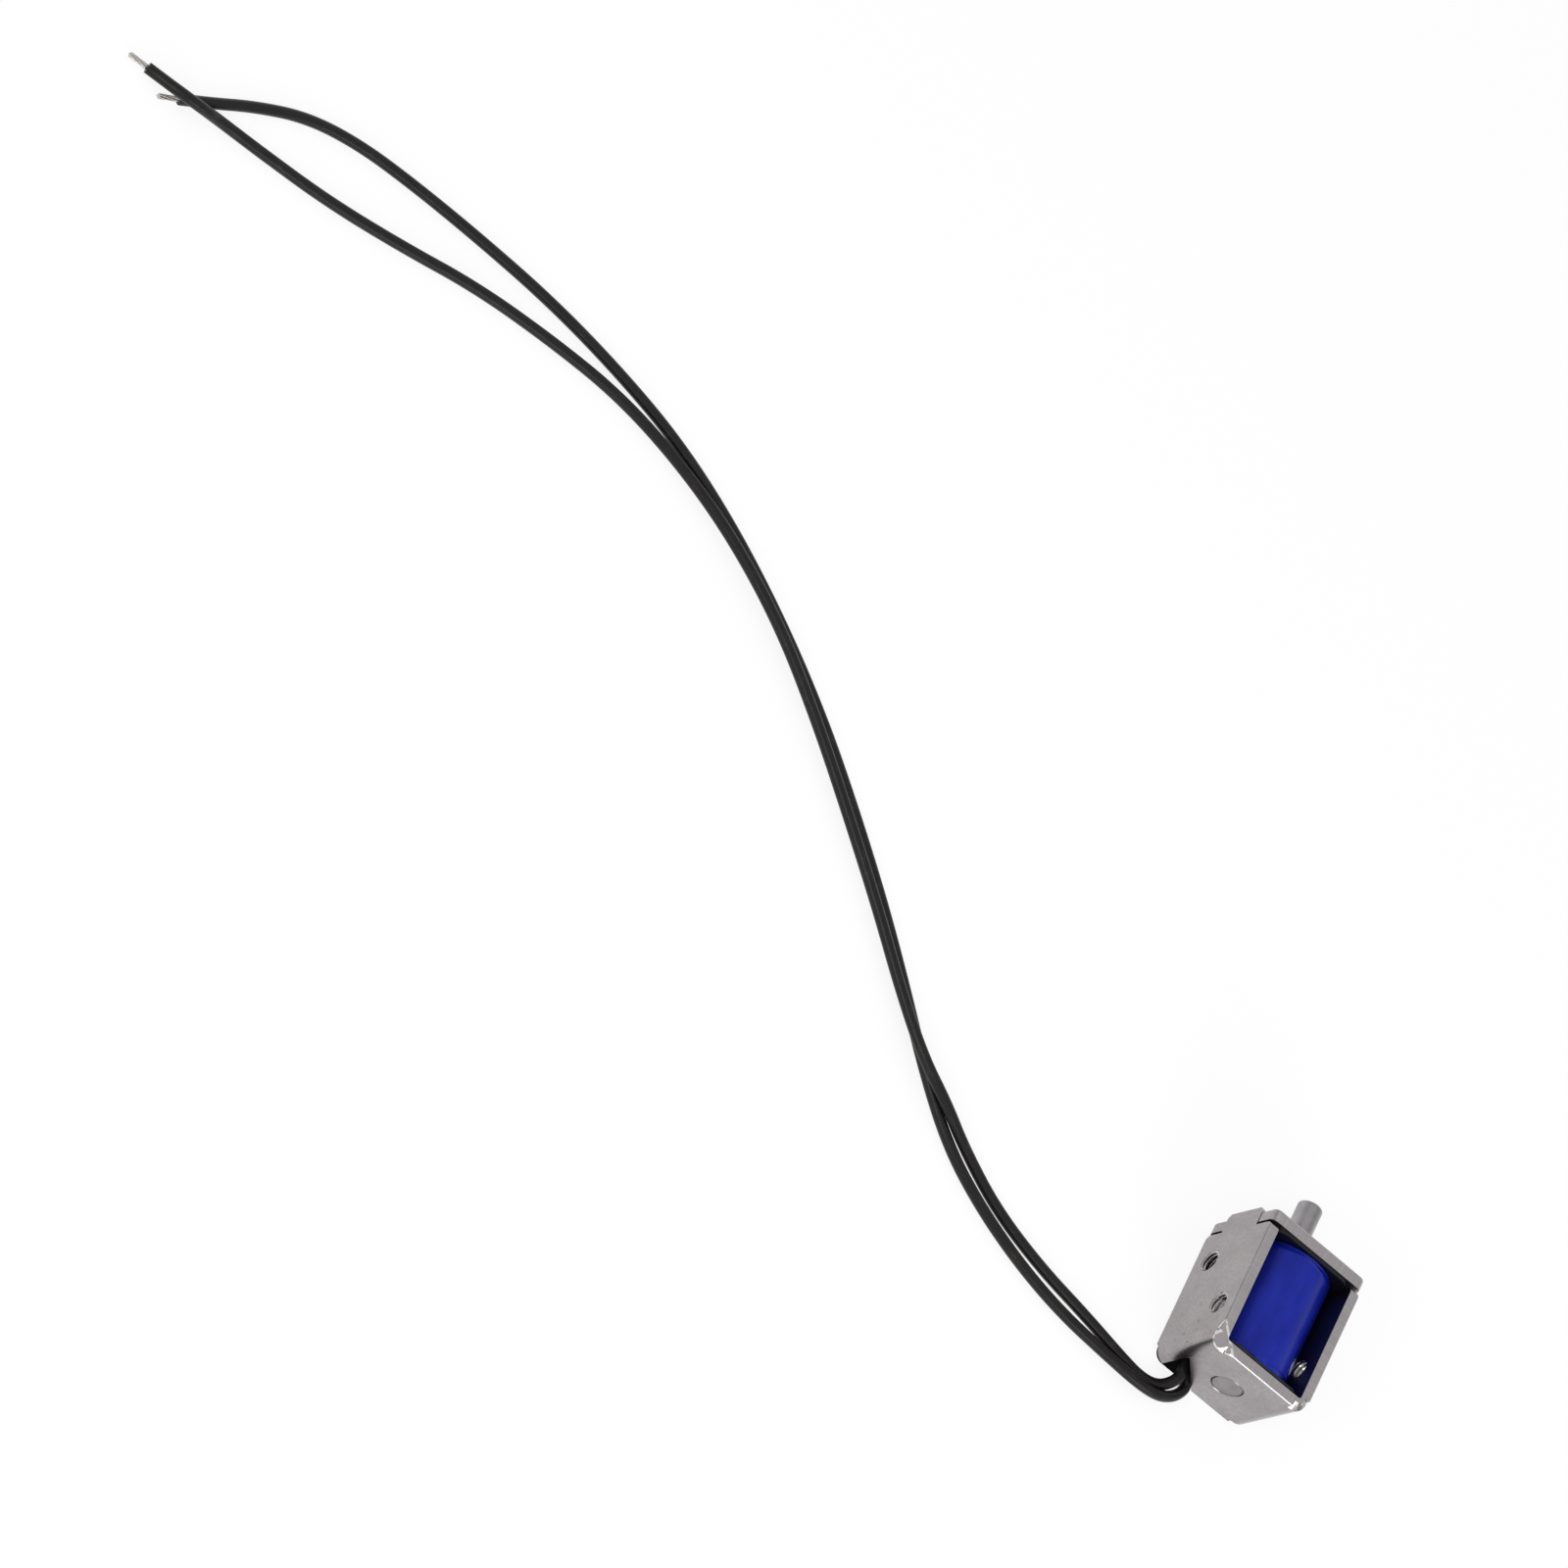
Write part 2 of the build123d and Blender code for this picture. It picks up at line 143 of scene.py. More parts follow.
def rgb(red, green, blue):
    """A colour as a picture shows it, 0 to 255, made linear for a shader."""
    channels = []
    for value in (red, green, blue):
        share = value / 255
        channels.append(share / 12.92 if share <= 0.04045 else ((share + 0.055) / 1.055) ** 2.4)
    return (*channels, 1)


print("mid grey", [round(v, 3) for v in rgb(128, 128, 128)])

# %% From a built shape to an object


def to_object(shape, name):
    """Puts the built shape into the scene as an object, and frees the shape."""
    mesh = bpy.data.meshes.new(name)
    shape.to_mesh(mesh)
    shape.free()
    made = bpy.data.objects.new(name, mesh)
    scene.collection.objects.link(made)
    return made


print("shapes become objects in", scene.name)

# %% [markdown]
# ## The white surface and the studio light
#
# The lock was photographed on white, lit softly from all round, and the picture's ground is pure
# white. More light would bleach the lock as well. So the floor and the sky glow white only for the
# camera and for reflections, while ordinary light bounces off a plain pale floor. Overhead the
# sky is duller, as a ceiling is, or faces that look up would mirror it as pure white. A share of
# the floor's colour stays lit by the lamps, and that share keeps the shadow. Right under the lock
# the surface is painted dark as a painted shadow and doesn't glow, since no light would get there.

# %% Sky
sky = bpy.data.worlds.new("studio_sky")
scene.world = sky
sky.use_nodes = True
sky.node_tree.nodes.clear()
sky_light = Signal(sky.node_tree)


def seen_or_mirrored(signal):
    """1 for camera, glossy and transmission rays, and 0 for the rest."""
    rays = [signal.make("ShaderNodeLightPath", out=out) for out in (
        "Is Camera Ray", "Is Glossy Ray", "Is Transmission Ray")]
    return (rays[0] + rays[1] + rays[2]) > 0.5


soft_sky_level = 0.5
ceiling_level = 0.62
ceiling_from = 0.1
ceiling_full = 0.8
sky_direction = sky_light.make("ShaderNodeTexCoord", out="Generated")
sky_height = sky_light.make("ShaderNodeSeparateXYZ", None, {0: sky_direction}, "Z")
overhead = sky_light.make("ShaderNodeMapRange", {"interpolation_type": "SMOOTHSTEP"}, {
    0: sky_height, 1: ceiling_from, 2: ceiling_full})
backdrop_level = 1 - overhead * (1 - ceiling_level)
seen = seen_or_mirrored(sky_light)
sky_strength = seen * backdrop_level + (1 - seen) * soft_sky_level
sky_shader = sky_light.make("ShaderNodeBackground", None, {"Strength": sky_strength})
sky_light.make("ShaderNodeOutputWorld", None, {"Surface": sky_shader})
print("sky level for soft light", soft_sky_level, "and overhead", ceiling_level)

# %% Floor
floor_half_width = 4
floor_drop = 0.02 * mm
shape = bmesh.new()
bmesh.ops.create_grid(shape, x_segments=1, y_segments=1, size=floor_half_width)
bmesh.ops.translate(shape, verts=shape.verts, vec=(0, 0, -floor_drop))
floor = to_object(shape, "floor")
print("floor", floor.name, "width", 2 * floor_half_width, "m")

# %% White surface, with a painted shadow where the lock covers it
bend_centre_x = 4.05 * mm
bend_centre_y = -7.92 * mm
cover_radius = 0.93 * mm
cover_front = 4.4 * mm
surface_white = 0.85
painted_shadow_dark = 0.02
glow_level = 1.16
glow_part = 0.72

floor_paint = bpy.data.materials.new("white_surface")
floor_paint.use_nodes = True
floor_paint.node_tree.nodes.clear()
paint = Signal(floor_paint.node_tree)
spot = paint.make("ShaderNodeTexCoord", out="Object")
side_reach = paint.make("ShaderNodeMath", {"operation": "ABSOLUTE"}, {
    0: paint.make("ShaderNodeSeparateXYZ", None, {0: spot}, "X")})
length_reach = paint.make("ShaderNodeSeparateXYZ", None, {0: spot}, "Y")
past_bend_x = paint.math("MAXIMUM", side_reach - bend_centre_x, 0)
past_bend_y = paint.math("MAXIMUM", bend_centre_y - length_reach, 0)
from_bend = past_bend_x * past_bend_x + past_bend_y * past_bend_y
under_lock = (from_bend < cover_radius ** 2) * (length_reach < cover_front)
# Where the lock covers the surface, its colour is a painted shadow, nearly black.
surface_colour = paint.make("ShaderNodeMix", {"data_type": "RGBA"}, {
    0: under_lock, 6: (*[surface_white] * 3, 1), 7: (*[painted_shadow_dark] * 3, 1)}, 2)
pale = paint.make("ShaderNodeBsdfDiffuse", None, {"Color": surface_colour})
glow = paint.make("ShaderNodeEmission", None, {"Color": (1, 1, 1, 1), "Strength": glow_level})
glow_share = seen_or_mirrored(paint) * (1 - under_lock) * glow_part
both = paint.make("ShaderNodeMixShader", None, {0: glow_share, 1: pale, 2: glow})
paint.make("ShaderNodeOutputMaterial", None, {"Surface": both})
floor.data.materials.append(floor_paint)
print("white surface, nodes", len(floor_paint.node_tree.nodes))

# %% Lamps
lamp_distance = 0.5


def soft_lamp(name, direction, size, level):
    """A square lamp that lights a white card facing it to that level, where 1 is white."""
    data = bpy.data.lights.new(name, "AREA")
    data.size = size
    data.energy = math.pi ** 2 * lamp_distance ** 2 * level
    lamp = bpy.data.objects.new(name, data)
    towards = Vector(direction).normalized()
    lamp.matrix_world = Matrix.Translation(towards * lamp_distance) @ towards.to_track_quat(
        "Z", "Y").to_matrix().to_4x4()
    scene.collection.objects.link(lamp)
    print(name, "energy", round(data.energy, 3), "W")


soft_lamp("front_lamp", direction=(0.41, -0.78, 0.47), size=0.22, level=0.2)
soft_lamp("left_lamp", direction=(-0.57, -0.52, 0.60), size=0.2, level=0.18)
soft_lamp("top_lamp", direction=(-0.1, 0.1, 1), size=0.8, level=0.2)

# %% [markdown]
# ## Folded steel
#
# The frame is cut from sheet steel, folded, and plated with zinc. The plating is a
# warm, even grey that is slightly cloudy, with a fine grain and here and there a brown speck where
# the plating is thin. A single grey would look like plastic, so slow noise clouds the colour, fast
# noise makes the grain, and both move the roughness a little. The sheet's cut edges
# show streaks across their thickness, because the punch shears them. A noise's scale says how
# many of its lumps fit in a metre: at 1000 they are about a millimetre across.


# %% Helpers for finishes
class Finish(Signal):
    """A new material, with the places on the piece that its patterns are read from."""

    def __init__(self, name):
        self.material = bpy.data.materials.new(name)
        self.material.use_nodes = True
        self.material.node_tree.nodes.clear()
        super().__init__(self.material.node_tree)
        self.place = self.make("ShaderNodeTexCoord", out="Object")
        self.facing = self.make("ShaderNodeTexCoord", out="Normal")

    def stretched(self, scale, centre=(0, 0, 0)):
        """Places for a pattern that is stretched by direction, and moved by the centre."""
        return self.make("ShaderNodeMapping", None, {
            "Vector": self.place, "Scale": scale, "Location": centre})

    def noise(self, where, scale, detail):
        return self.make("ShaderNodeTexNoise", None, {
            "Vector": where, "Scale": scale, "Detail": detail}, "Fac")

    def axis(self, vector, name):
        return self.make("ShaderNodeSeparateXYZ", None, {0: vector}, name)

    def size(self, value):
        return self.make("ShaderNodeMath", {"operation": "ABSOLUTE"}, {0: value})

    def spread(self, value, low, high):
        """0 below low and 1 above high, with a smooth change between."""
        return self.make("ShaderNodeMapRange", {"interpolation_type": "SMOOTHSTEP"}, {
            0: value, 1: low, 2: high})

    def colour_mix(self, share, first, second):
        return self.make("ShaderNodeMix", {"data_type": "RGBA"}, {
            0: share, 6: first, 7: second}, 2)

    def bump(self, height, distance, strength):
        return self.make("ShaderNodeBump", None, {
            "Height": height, "Distance": distance, "Strength": strength})

    def done(self, **sockets):
        named = {name.replace("_", " "): value for name, value in sockets.items()}
        surface = self.make("ShaderNodeBsdfPrincipled", None, named)
        self.make("ShaderNodeOutputMaterial", None, {"Surface": surface})
        print("finish", self.material.name, "nodes", len(self.material.node_tree.nodes))
        return self.material


def dress(node, material):
    """Gives a solid part its finish."""
    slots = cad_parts[node].data.materials
    slots.clear()
    slots.append(material)


print("helpers ready")

# %% Where the left front corner was struck
wall_side = Vector((-5.3, -7.0, 8.7)) * mm
foot_side = Vector((-3.3, -9.17, 8.7)) * mm
struck_depth = Vector((-4.93, -8.8, 8.05)) * mm
struck_facing = (foot_side - struck_depth).cross(wall_side - struck_depth).normalized()
print("struck plane faces", [round(v, 3) for v in struck_facing])

# %% Clouds and grain of the zinc
plating = Finish("zinc_plated_sheet")
clouds = plating.noise(plating.place, 380, 4)
grain = plating.noise(plating.place, 4200, 2)
light_zinc = rgb(168, 163, 164)
dull_zinc = rgb(158, 152, 153)
zinc = plating.colour_mix(plating.spread(clouds, 0.35, 0.65), dull_zinc, light_zinc)
zinc = plating.colour_mix(plating.spread(grain, 0.35, 0.65) * 0.45, zinc, rgb(142, 136, 137))
print("zinc colours", [round(v, 3) for v in dull_zinc], [round(v, 3) for v in light_zinc])

# %% Cut edges, which face straight up
walls_from = 4.28 * mm
edge = plating.spread(plating.axis(plating.facing, "Z"), 0.75, 0.97)
wall = plating.size(plating.axis(plating.place, "X")) > walls_from
along_wall = plating.noise(plating.stretched((200, 7000, 200)), 1, 2)
across_foot = plating.noise(plating.stretched((7000, 200, 200)), 1, 2)
streaks = wall * along_wall + (1 - wall) * across_foot
zinc = plating.colour_mix(edge * 0.75, zinc, rgb(188, 183, 186))
sheared = edge * plating.spread(streaks, 0.45, 0.62)
zinc = plating.colour_mix(sheared * 0.3, zinc, rgb(206, 203, 203))
print("walls reach in to", round(walls_from / mm, 2), "mm")

# %% Burnished bends, and rolled edges with a painted highlight
front_from = 7.4 * mm
bend = plating.spread(plating.size(
    plating.axis(plating.facing, "X") * plating.axis(plating.facing, "Y")), 0.05, 0.35)
upward = plating.axis(plating.facing, "Z")
near_front = plating.axis(plating.place, "Z") > front_from
footward = plating.spread(0 - plating.axis(plating.facing, "Y"), 0.2, 0.4)
rolled_edge_and_highlight = plating.spread(upward, 0.2, 0.35) * (1 - plating.spread(upward, 0.86, 0.95))
on_plane = plating.spread(plating.make("ShaderNodeVectorMath", {"operation": "DOT_PRODUCT"}, {
    0: plating.facing, 1: struck_facing}, "Value"), 0.985, 0.995)
rolled_edge_and_highlight = rolled_edge_and_highlight * near_front * footward * (1 - on_plane)
# The rolled front edges are painted lighter, a painted highlight where the front lamp reflects in
# them; their lower roughness is real.
zinc = plating.colour_mix(rolled_edge_and_highlight * 0.4, zinc, rgb(214, 212, 210))
print("rolled edges from height", round(front_from / mm, 2), "mm")

# %% Dents on the struck corners, and a painted highlight along the rim of the struck plane
struck = rolled_edge_and_highlight * plating.spread(bend, 0.1, 0.5)
dents = plating.noise(plating.place, 1900, 3)
zinc = plating.colour_mix(struck * plating.spread(dents, 0.42, 0.56), zinc, rgb(120, 117, 116))
rim_width = 0.1 * mm
rim_fade = 0.19 * mm
to_plane = struck_facing.dot(struck_depth) - plating.make(
    "ShaderNodeVectorMath", {"operation": "DOT_PRODUCT"}, {
        0: plating.place, 1: struck_facing}, "Value")
# The rim along the struck plane is painted nearly white: a painted highlight.
painted_rim_highlight = (1 - plating.spread(to_plane, rim_width, rim_fade)) * (1 - on_plane)
painted_rim_highlight = painted_rim_highlight * plating.spread(dents, 0.36, 0.5)
zinc = plating.colour_mix(painted_rim_highlight * 0.95, zinc, rgb(250, 249, 247))
zinc = plating.colour_mix(on_plane * 0.5, zinc, rgb(146, 142, 142))
print("painted highlight rim", round(rim_width / mm, 2), "mm wide")

# %% Brown specks low on the left wall, then gloss and relief
specks_below = -5.0 * mm
specks_end = -2.0 * mm
left_face = -5.2 * mm
speck_noise = plating.noise(plating.stretched((1, 1, 1), (0.013, 0, 0)), 1500, 2)
low = 1 - plating.spread(plating.axis(plating.place, "Y"), specks_below, specks_end)
left = plating.axis(plating.place, "X") < left_face
specks = plating.spread(speck_noise, 0.64, 0.70) * low * left
zinc = plating.colour_mix(specks * 0.55, zinc, rgb(126, 98, 88))

steel_roughness = 0.25 + clouds * 0.06 + grain * 0.06 - bend * 0.09
steel_roughness = steel_roughness - rolled_edge_and_highlight * 0.12 + struck * 0.14
steel_height = grain * 0.4 + clouds * 0.3 + edge * streaks * 0.9 + struck * dents * 9
zinc_plated_sheet = plating.done(
    Base_Color=zinc, Metallic=1.0, Roughness=steel_roughness,
    Normal=plating.bump(steel_height, 0.012 * mm, 0.35))
dress("yoke_frame", zinc_plated_sheet)
dress("end_plate", zinc_plated_sheet)

# %% [markdown]
# ## The struck corner
#
# The front corner between the left wall and the foot was struck flat, deeper than the one on the
# right. It could be modelled as a dent, but the photograph shows one plane with sharp sides. So
# the frame's mesh is copied and its doubles are merged, one cut takes the corner off, and the
# open cut is closed again. The bends would look faceted on the copy, so each corner of each face
# takes its shading direction from the same place on the solid part.

# %% Frame with its left front corner struck flat
same_place = 0.0005 * mm
shape = bmesh.new()
shape.from_mesh(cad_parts["yoke_frame"].data)
bmesh.ops.remove_doubles(shape, verts=shape.verts, dist=same_place)
cut = bmesh.ops.bisect_plane(
    shape, geom=shape.verts[:] + shape.edges[:] + shape.faces[:], plane_co=struck_depth,
    plane_no=struck_facing, clear_outer=True)["geom_cut"]
bmesh.ops.holes_fill(
    shape, edges=[one for one in cut if isinstance(one, bmesh.types.BMEdge)], sides=0)
bmesh.ops.recalc_face_normals(shape, faces=shape.faces)
print("struck frame, open edges", sum(one.is_boundary for one in shape.edges))
struck_frame = to_object(shape, "struck_frame")

# %% Shading directions of the solid part
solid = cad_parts["yoke_frame"].data
solid_places = [vert.co for vert in solid.vertices]
solid_tree = BVHTree.FromPolygons(solid_places, [face.vertices for face in solid.polygons])
into_face = 0.02


def solid_shading(corner, face):
    """The shading direction that the solid part has where this corner of this face lies."""
    index = solid_tree.find_nearest(corner.lerp(face.center, into_face))[2]
    under = solid.polygons[index]
    shares = poly_3d_calc([solid_places[vert] for vert in under.vertices], corner)
    directions = [solid.corner_normals[loop].vector for loop in under.loop_indices]
    return sum((one * share for one, share in zip(directions, shares)), Vector()).normalized()


print("solid part, faces", len(solid.polygons))

# %% The frame with those directions
mesh = struck_frame.data
same_facing = 0.999
shading = []
for face in mesh.polygons:
    on_cut = face.normal.dot(struck_facing) > same_facing
    face.use_smooth = True
    for vert in face.vertices:
        shading.append(face.normal if on_cut else solid_shading(mesh.vertices[vert].co, face))
mesh.normals_split_custom_set(shading)
mesh.materials.append(zinc_plated_sheet)
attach(struck_frame, "frame")
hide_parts("yoke_frame")
print("struck frame, faces", len(mesh.polygons), "corners", len(shading))

# %% [markdown]
# ## Turned steel
#
# The core's tenon and the bolt are turned on a lathe. A tool leaves fine rings round the axis of
# what it turns, so the noise is squeezed along that axis and hardly changes round it. The
# tenon's end is a disc, where the rings are circles, so there the noise follows the distance
# from the axis.

# %% Turned steel for the core and the bolt
axis_height = 4.35 * mm
marks_a_metre = 9000


def turned_steel(name, light, dark, roughness):
    """Steel with lathe marks round an axis along Y at the coil's height."""
    steel = Finish(name)
    centred = steel.stretched((1, 1, 1), (0, 0, -axis_height))
    flat = steel.make("ShaderNodeVectorMath", {"operation": "MULTIPLY"}, {
        0: centred, 1: (1, 0, 1)})
    radius = steel.make("ShaderNodeVectorMath", {"operation": "LENGTH"}, {0: flat}, "Value")
    marks_at = steel.make("ShaderNodeCombineXYZ", None, {
        0: radius * marks_a_metre, 1: steel.axis(steel.place, "Y") * marks_a_metre})
    marks = steel.noise(marks_at, 1, 1)
    patches = steel.noise(steel.place, 900, 3)
    colour = steel.colour_mix(steel.spread(patches, 0.25, 0.75), dark, light)
    colour = steel.colour_mix(steel.spread(marks, 0.4, 0.65) * 0.2, colour, dark)
    return steel.done(
        Base_Color=colour, Metallic=1.0, Roughness=roughness + patches * 0.1,
        Normal=steel.bump(marks * 0.6 + patches * 0.6, 0.006 * mm, 0.4))


dress("fixed_core", turned_steel(
    "core_steel", light=rgb(154, 149, 151), dark=rgb(132, 127, 129), roughness=0.3))
dress("locking_plunger", turned_steel(
    "bolt_steel", light=rgb(166, 164, 166), dark=rgb(150, 147, 149), roughness=0.24))

# %% [markdown]
# ## Parts inside the coil
#
# The spring, the washers, the winding and the solder can be seen only when the lock is opened,
# or through its holes, and they still get the finish of the real thing. The spring is drawn
# wire, with marks along it. The winding's turns are one wire lying side by side,
# which a wave along the axis shows without modelling hundreds of turns.

# %% Spring, washers, shim and solder
wire = Finish("spring_wire")
drawn = wire.noise(wire.place, 2600, 3)
spring_wire = wire.done(
    Base_Color=wire.colour_mix(drawn, rgb(138, 138, 142), rgb(196, 196, 198)),
    Metallic=1.0, Roughness=0.22 + drawn * 0.15,
    Normal=wire.bump(drawn, 0.004 * mm, 0.3))
dress("return_spring", spring_wire)


def rolled_metal(name, dark, light, roughness):
    """Thin rolled strip, with marks that run across the coil's axis."""
    strip = Finish(name)
    rolled = strip.noise(strip.stretched((900, 900, 6000)), 1, 2)
    return strip.done(
        Base_Color=strip.colour_mix(rolled, dark, light), Metallic=1.0,
        Roughness=roughness + rolled * 0.15, Normal=strip.bump(rolled, 0.004 * mm, 0.3))


dress("stop_washer", rolled_metal(
    "blued_washer", dark=rgb(128, 128, 132), light=rgb(168, 167, 168), roughness=0.3))
dress("anti_stick_shim", rolled_metal(
    "shim_brass", dark=rgb(176, 134, 66), light=rgb(214, 176, 104), roughness=0.28))

tin = Finish("solder_tin")
lumps = tin.noise(tin.place, 1800, 3)
solder = tin.done(
    Base_Color=tin.colour_mix(lumps, rgb(150, 151, 155), rgb(205, 206, 208)),
    Metallic=1.0, Roughness=0.2 + lumps * 0.2,
    Normal=tin.bump(lumps, 0.02 * mm, 0.5))
dress("solder_joint_a", solder)
dress("solder_joint_b", solder)

# %% Enamelled copper for the winding and its two tails
copper = Finish("enamelled_copper")
wire_pitch = 0.16 * mm
# a wave texture of scale 1 has twenty bands in a stretch of tau
turns = copper.make("ShaderNodeTexWave", {"bands_direction": "Y", "wave_profile": "SIN"}, {
    "Vector": copper.place, "Scale": math.tau / 20 / wire_pitch, "Distortion": 0.4,
    "Detail Scale": 2.0}, "Fac")
varnish = copper.noise(copper.place, 1400, 2)
enamel = copper.colour_mix(varnish, rgb(150, 74, 34), rgb(196, 112, 58))
# The troughs between the turns are painted darker: a painted shade between the round wires.
enamel = copper.colour_mix((1 - turns) * 0.5, enamel, rgb(84, 36, 16))
enamelled_copper = copper.done(
    Base_Color=enamel, Metallic=0.75, Roughness=0.22 + varnish * 0.12,
    Normal=copper.bump(turns, 0.05 * mm, 0.7))
for name in ("coil_winding", "magnet_wire_tail_a", "magnet_wire_tail_b"):
    dress(name, enamelled_copper)

# %% [markdown]
# ## Black plastic
#
# The bobbin is moulded in black nylon. Its flanges show as black bands at both ends of the
# coil. Moulded nylon isn't pure black: it is a dark blue-grey with a soft gloss and a very fine
# unevenness from the mould.

# %% Moulded nylon for the bobbin
nylon = Finish("black_nylon")
mould = nylon.noise(nylon.place, 2200, 3)
black = nylon.colour_mix(mould, rgb(10, 11, 17), rgb(20, 21, 32))
dress("bobbin", nylon.done(
    Base_Color=black, Roughness=0.3 + mould * 0.15, Specular_IOR_Level=0.35,
    Normal=nylon.bump(mould, 0.008 * mm, 0.3)))

# %% [markdown]
# ## Blue tape
#
# The winding is wrapped in glossy blue polyester tape, a few turns thick. It is stretched as it is
# wound, so it has faint streaks along the coil and slow waves where air is caught under it. The
# coil's sides that face left and right are painted a darker blue, a painted shade. The waves go
# into the bump, because they are what bends the reflections.

# %% Polyester tape
film = Finish("blue_tape")
streak = film.noise(film.stretched((380, 150, 380)), 1, 3)
ripple = film.noise(film.stretched((620, 230, 620), (0.004, 0.001, 0)), 1, 3)
fibres = film.noise(film.stretched((2600, 500, 2600)), 1, 2)
blue = film.colour_mix(film.spread(streak, 0.35, 0.65), rgb(15, 31, 153), rgb(23, 43, 177))
blue = film.colour_mix(film.spread(fibres, 0.5, 0.75) * 0.15, blue, rgb(42, 60, 190))
# The coil's faces that turn right or left are painted a darker blue: painted shade.
side = film.spread(film.axis(film.facing, "X"), 0.35, 0.85)
painted_shade_left = film.spread(0 - film.axis(film.facing, "X"), 0.45, 0.85)
blue = film.colour_mix(painted_shade_left * 0.5 + side * 0.6, blue, rgb(14, 20, 104))
polyester_tape = film.done(
    Base_Color=blue, Roughness=0.16 + fibres * 0.12, Specular_IOR_Level=0.22,
    Normal=film.bump(ripple * 1.5 + fibres * 0.08, 0.05 * mm, 0.7))
dress("coil_tape", polyester_tape)

# %% [markdown]
# ## The two leads
#
# Each lead is thin stranded copper wire in black insulation, about 15 cm long. It leaves the
# coil through the notch in the frame, turns left and lies in one long loose curve on the surface.
# A lead could be a swept mesh, but a smooth curve with a round section is what it is: the curve
# has few points, so it keeps the slack bends of a limp wire, and its length can be
# measured. Blender draws the curve inside its control points, so a bend is never a corner.

# %% Routes of the leads, in metres
lead_radius = 0.5 * mm
lead_a_route = [
    (-0.00295, -0.0072, 0.00141), (-0.00293, -0.0083, 0.00141), (-0.00254, -0.00954, 0.00122),
    (-0.00351, -0.0109, 0.0005), (-0.0054, -0.01147, 0.00051), (-0.0083, -0.01107, 0.00051),
    (-0.0126, -0.01027, 0.0005), (-0.0184, -0.00945, 0.0005), (-0.0244, -0.0079, 0.0005),
    (-0.0296, -0.00546, 0.00062), (-0.0335, -0.0038, 0.00162), (-0.0372, -0.0019, 0.00164),
    (-0.0414, 0.0018, 0.00116), (-0.0468, 0.00665, 0.00105), (-0.0524, 0.0112, 0.00102),
    (-0.0588, 0.0161, 0.00112), (-0.0662, 0.02095, 0.00138), (-0.0738, 0.0247, 0.00118),
    (-0.081, 0.0272, 0.00068), (-0.0884, 0.02845, 0.0005), (-0.096, 0.0283, 0.0005),
    (-0.1042, 0.0276, 0.0005), (-0.112, 0.026, 0.0005), (-0.1196, 0.0248, 0.0005),
    (-0.1266, 0.0243, 0.0005), (-0.1312, 0.024, 0.00062), (-0.13365, 0.02325, 0.00164),
    (-0.13615, 0.02307, 0.00164), (-0.1378, 0.02345, 0.0008), (-0.1392, 0.02355, 0.0005),
]
lead_b_route = [
    (-0.00185, -0.0069, 0.0007), (-0.00188, -0.0082, 0.00064), (-0.00116, -0.00973, 0.00046),
    (-0.00277, -0.01169, 0.00079), (-0.0055, -0.01237, 0.00111), (-0.0099, -0.01188, 0.00063),
    (-0.0147, -0.0115, 0.0005), (-0.0201, -0.0105, 0.0005), (-0.0258, -0.0087, 0.0005),
    (-0.031, -0.0062, 0.0005), (-0.0361, -0.00205, 0.0005), (-0.0409, 0.00265, 0.0005),
    (-0.0463, 0.0076, 0.0005), (-0.0522, 0.01245, 0.0005), (-0.0586, 0.0173, 0.0005),
    (-0.066, 0.0219, 0.0005), (-0.074, 0.0259, 0.0005), (-0.0818, 0.0287, 0.0005),
    (-0.0896, 0.0302, 0.0005), (-0.0976, 0.0311, 0.0005), (-0.1058, 0.0313, 0.0005),
    (-0.1134, 0.0312, 0.0005), (-0.1194, 0.0308, 0.0005), (-0.1246, 0.0296, 0.0005),
    (-0.1292, 0.0272, 0.0005), (-0.133, 0.02465, 0.0005), (-0.1354, 0.0232, 0.0005),
]
print("route points", len(lead_a_route), len(lead_b_route))

# %% Black insulation
jacket = Finish("black_insulation")
talc = jacket.noise(jacket.place, 900, 4)
pores = jacket.noise(jacket.place, 5200, 2)
dusty = jacket.spread(talc, 0.52, 0.72) * jacket.spread(pores, 0.5, 0.62)
rubber = jacket.colour_mix(talc, rgb(17, 15, 15), rgb(32, 29, 28))
rubber = jacket.colour_mix(dusty * 0.22, rubber, rgb(92, 86, 82))
black_insulation = jacket.done(
    Base_Color=rubber, Roughness=0.3 + pores * 0.14, Specular_IOR_Level=0.3,
    Normal=jacket.bump(pores * 0.5 + talc * 0.5, 0.012 * mm, 0.4))

# %% Two curves with a round section


def lead(name, route):
    data = bpy.data.curves.new(name, "CURVE")
    data.dimensions = "3D"
    line = data.splines.new("NURBS")
    line.points.add(len(route) - 1)
    for point, place in zip(line.points, route):
        point.co = (*place, 1)
    line.order_u = 3
    line.use_endpoint_u = True
    line.resolution_u = 14
    line.use_smooth = True
    data.bevel_depth = lead_radius
    data.bevel_resolution = 5
    data.use_fill_caps = True
    data.materials.append(black_insulation)
    piece = bpy.data.objects.new(name, data)
    scene.collection.objects.link(piece)
    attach(piece, "frame")
    return piece


lead_a = lead("lead_a", lead_a_route)
lead_b = lead("lead_b", lead_b_route)
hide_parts("lead_wire_a")
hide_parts("lead_wire_b")
print("leads", lead_a.name, lead_b.name)

# %% [markdown]
# ## Bare strands
#
# The last 2 mm of each lead is stripped. Seven tinned strands lie in a twist there, six round
# one. A textured cylinder would look like a solid pin, so each strand is made by spinning a
# small disc round the lead's own line while it moves along it, which is how a strand lies.

